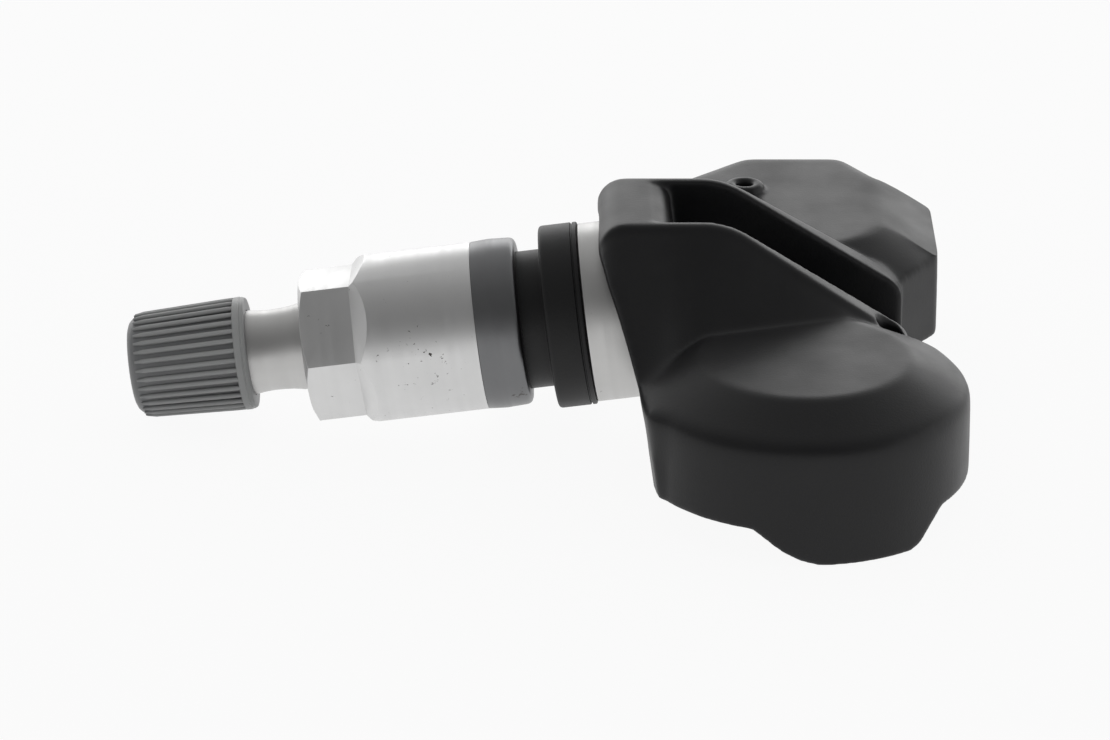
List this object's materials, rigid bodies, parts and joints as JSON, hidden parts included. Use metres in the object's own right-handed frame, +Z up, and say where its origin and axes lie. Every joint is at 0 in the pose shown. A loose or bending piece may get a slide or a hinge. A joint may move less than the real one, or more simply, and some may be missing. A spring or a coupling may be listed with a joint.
{
  "type": "tyre pressure sensor",
  "caption": "Wheel pressure sensor: lobed plastic housing on a clamp-in aluminium valve with union nut, collar, rubber grommet and ribbed cap.",
  "frame": {"origin": "centre of the wheel rim's hole, on the valve axis, in the plane of the face that the grommet's flange seats on", "axes": "+Z up from the table that the part lies on, +X from the valve's tip to the housing's rear, +Y from the round lobe to the electronics pod"},
  "size_m": [0.0737, 0.0621, 0.0208],
  "materials": {
    "housing_plastic": "fine matte moulded, glass filled",
    "potting": "matte",
    "cell_steel": "satin",
    "nickel": "satin",
    "board": "solder resist",
    "chip": "matte",
    "membrane": "matte",
    "ferrite": "matte",
    "copper": "enamelled wire",
    "aluminium": "fine turned, satin",
    "collar": "semi gloss",
    "rubber": "matte",
    "cap_plastic": "satin",
    "cap_seal": "matte",
    "brass": "turned",
    "screw_steel": "zinc plated"
  },
  "bodies": {
    "housing": {"housing_shell": "housing_plastic", "base_cover": "potting", "button_cell": "cell_steel", "plus_strap": "nickel", "minus_strap": "nickel", "circuit_board": "board", "pressure_sensor": "chip", "port_membrane": "membrane", "controller_chip": "chip", "timing_crystal": "nickel", "antenna_core": "ferrite", "antenna_winding": "copper", "radio_loop": "nickel", "board_capacitors": "chip"},
    "valve": {"valve_stem": "aluminium", "clamp_screw": "screw_steel", "screw_saddle": "screw_steel", "rim_grommet": "rubber", "pressure_collar": "collar", "core_body": "brass", "core_seal": "rubber", "core_spring": "screw_steel"},
    "nut": {"union_nut": "aluminium"},
    "cap": {"valve_cap": "cap_plastic", "cap_seal": "cap_seal"},
    "plunger": {"core_pin": "brass"}
  },
  "joints": [
    {"name": "valve_tilt", "type": "hinge", "parent": "housing", "child": "valve", "pos_m": [0.00595, 0, 0.00076], "axis": [0, 1, 0], "range_deg": [-4, 8]},
    {"name": "nut_back_off", "type": "slide", "parent": "valve", "child": "nut", "axis": [-0.9919, 0, -0.1271], "range_m": [0, 0.0042]},
    {"name": "cap_off", "type": "slide", "parent": "valve", "child": "cap", "axis": [-0.9919, 0, -0.1271], "range_m": [0, 0.014]},
    {"name": "core_press", "type": "slide", "parent": "valve", "child": "plunger", "axis": [0.9919, 0, 0.1271], "range_m": [0, 0.0012], "stiffness_N_per_m": 1200, "springref_m": -0.0005, "deforming": ["core_spring"]}
  ]
}
